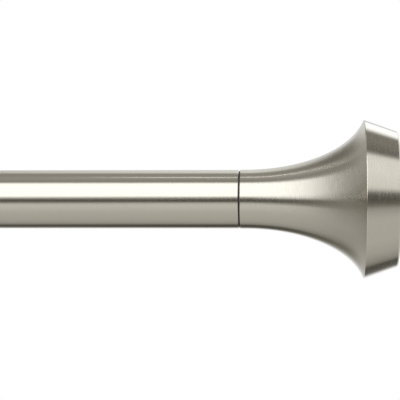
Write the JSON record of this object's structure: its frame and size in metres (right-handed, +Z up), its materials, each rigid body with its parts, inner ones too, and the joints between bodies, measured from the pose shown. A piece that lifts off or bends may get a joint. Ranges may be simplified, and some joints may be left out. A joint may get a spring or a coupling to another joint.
{
  "type": "curtain rod with brackets",
  "caption": "Telescoping round curtain rod in brushed nickel with trumpet finials, held off the wall by adjustable open-cradle brackets with thumbscrews.",
  "frame": {"origin": "centre of the right bracket's wall plate, on the back face that lies against the wall", "axes": "+X along the rod towards the right-hand finial, +Y into the wall, +Z up; the rod's axis is parallel to X, 88.9 mm in front of the wall and level with the origin"},
  "size_m": [0.8476, 0.1231, 0.0684],
  "materials": {
    "brushed_nickel": "satin brushed nickel plate over steel and zinc castings",
    "zinc_steel": "bright zinc plate",
    "black_plastic": "moulded, slightly grained",
    "nylon": "natural nylon, satin"
  },
  "bodies": {
    "right_bracket_base": {"right_wall_plate": "brushed_nickel", "right_arm_sleeve": "brushed_nickel"},
    "right_bracket_arm": {"right_arm": "brushed_nickel", "right_cradle": "brushed_nickel"},
    "right_arm_screw_tip": {"right_arm_thumbscrew_tip": "nylon"},
    "right_arm_screw": {"right_arm_thumbscrew": "brushed_nickel"},
    "right_rod_screw_tip": {"right_rod_thumbscrew_tip": "nylon"},
    "right_rod_screw": {"right_rod_thumbscrew": "brushed_nickel"},
    "outer_rod": {"outer_tube": "brushed_nickel", "outer_tube_end_plug": "black_plastic", "outer_tube_mouth_guide": "black_plastic"},
    "inner_rod": {"inner_tube": "brushed_nickel", "inner_tube_end_plug": "black_plastic", "inner_tube_glide": "nylon"},
    "right_finial_fixing": {"right_finial_stud": "zinc_steel"},
    "right_finial": {"right_finial_shell": "brushed_nickel", "right_finial_end_cap": "brushed_nickel", "right_finial_bush": "zinc_steel"},
    "left_finial_fixing": {"left_finial_stud": "zinc_steel"},
    "left_finial": {"left_finial_shell": "brushed_nickel", "left_finial_end_cap": "brushed_nickel", "left_finial_bush": "zinc_steel"},
    "left_bracket_base": {"left_wall_plate": "brushed_nickel", "left_arm_sleeve": "brushed_nickel"},
    "left_bracket_arm": {"left_arm": "brushed_nickel", "left_cradle": "brushed_nickel"},
    "left_arm_screw_tip": {"left_arm_thumbscrew_tip": "nylon"},
    "left_arm_screw": {"left_arm_thumbscrew": "brushed_nickel"},
    "left_rod_screw_tip": {"left_rod_thumbscrew_tip": "nylon"},
    "left_rod_screw": {"left_rod_thumbscrew": "brushed_nickel"}
  },
  "joints": [
    {"name": "right_projection", "type": "slide", "parent": "right_bracket_base", "child": "right_bracket_arm", "axis": [0, -1, 0], "range_m": [0, 0.0254]},
    {"name": "rod_lift_out", "type": "slide", "parent": "right_bracket_arm", "child": "outer_rod", "axis": [0, 0, 1], "range_m": [0, 0.04]},
    {"name": "rod_extension", "type": "slide", "parent": "outer_rod", "child": "inner_rod", "axis": [-1, 0, 0], "range_m": [0, 0.508]},
    {"name": "left_bracket_place", "type": "slide", "parent": "right_bracket_base", "child": "left_bracket_base", "axis": [-1, 0, 0], "range_m": [0, 0.508]},
    {"name": "left_projection", "type": "slide", "parent": "left_bracket_base", "child": "left_bracket_arm", "axis": [0, -1, 0], "range_m": [0, 0.0254]},
    {"name": "right_finial_advance", "type": "slide", "parent": "outer_rod", "child": "right_finial_fixing", "axis": [1, 0, 0], "range_m": [0, 0.01]},
    {"name": "right_finial_turn", "type": "hinge", "parent": "right_finial_fixing", "child": "right_finial", "pos_m": [0.1656, -0.0889, 0], "axis": [1, 0, 0], "range_deg": [0, 2880]},
    {"name": "left_finial_advance", "type": "slide", "parent": "inner_rod", "child": "left_finial_fixing", "axis": [-1, 0, 0], "range_m": [0, 0.01]},
    {"name": "left_finial_turn", "type": "hinge", "parent": "left_finial_fixing", "child": "left_finial", "pos_m": [-0.5468, -0.0889, 0], "axis": [-1, 0, 0], "range_deg": [0, 2880]},
    {"name": "right_arm_screw_advance", "type": "slide", "parent": "right_bracket_base", "child": "right_arm_screw_tip", "axis": [0, 0, -1], "range_m": [0, 0.00105]},
    {"name": "right_arm_screw_turn", "type": "hinge", "parent": "right_arm_screw_tip", "child": "right_arm_screw", "pos_m": [0, -0.052, -0.0053], "axis": [0, 0, -1], "range_deg": [0, 540]},
    {"name": "right_rod_screw_advance", "type": "slide", "parent": "right_bracket_arm", "child": "right_rod_screw_tip", "axis": [0, -0.7071, -0.7071], "range_m": [0, 0.0042]},
    {"name": "right_rod_screw_turn", "type": "hinge", "parent": "right_rod_screw_tip", "child": "right_rod_screw", "pos_m": [0, -0.0889, 0], "axis": [0, -0.7071, -0.7071], "range_deg": [0, 2160]},
    {"name": "left_arm_screw_advance", "type": "slide", "parent": "left_bracket_base", "child": "left_arm_screw_tip", "axis": [0, 0, -1], "range_m": [0, 0.00105]},
    {"name": "left_arm_screw_turn", "type": "hinge", "parent": "left_arm_screw_tip", "child": "left_arm_screw", "pos_m": [-0.3812, -0.052, -0.0053], "axis": [0, 0, -1], "range_deg": [0, 540]},
    {"name": "left_rod_screw_advance", "type": "slide", "parent": "left_bracket_arm", "child": "left_rod_screw_tip", "axis": [0, -0.7071, -0.7071], "range_m": [0, 0.0042]},
    {"name": "left_rod_screw_turn", "type": "hinge", "parent": "left_rod_screw_tip", "child": "left_rod_screw", "pos_m": [-0.3812, -0.0889, 0], "axis": [0, -0.7071, -0.7071], "range_deg": [0, 2160]}
  ],
  "couplings": [
    {"joint": "left_bracket_place", "follows": "rod_extension", "ratio": 1},
    {"joint": "left_projection", "follows": "right_projection", "ratio": 1},
    {"joint": "right_finial_turn", "follows": "right_finial_advance", "rad_per_m": 5026.5},
    {"joint": "left_finial_turn", "follows": "left_finial_advance", "rad_per_m": 5026.5},
    {"joint": "right_arm_screw_turn", "follows": "right_arm_screw_advance", "rad_per_m": 8976},
    {"joint": "right_rod_screw_turn", "follows": "right_rod_screw_advance", "rad_per_m": 8976},
    {"joint": "left_arm_screw_turn", "follows": "left_arm_screw_advance", "rad_per_m": 8976},
    {"joint": "left_rod_screw_turn", "follows": "left_rod_screw_advance", "rad_per_m": 8976}
  ]
}
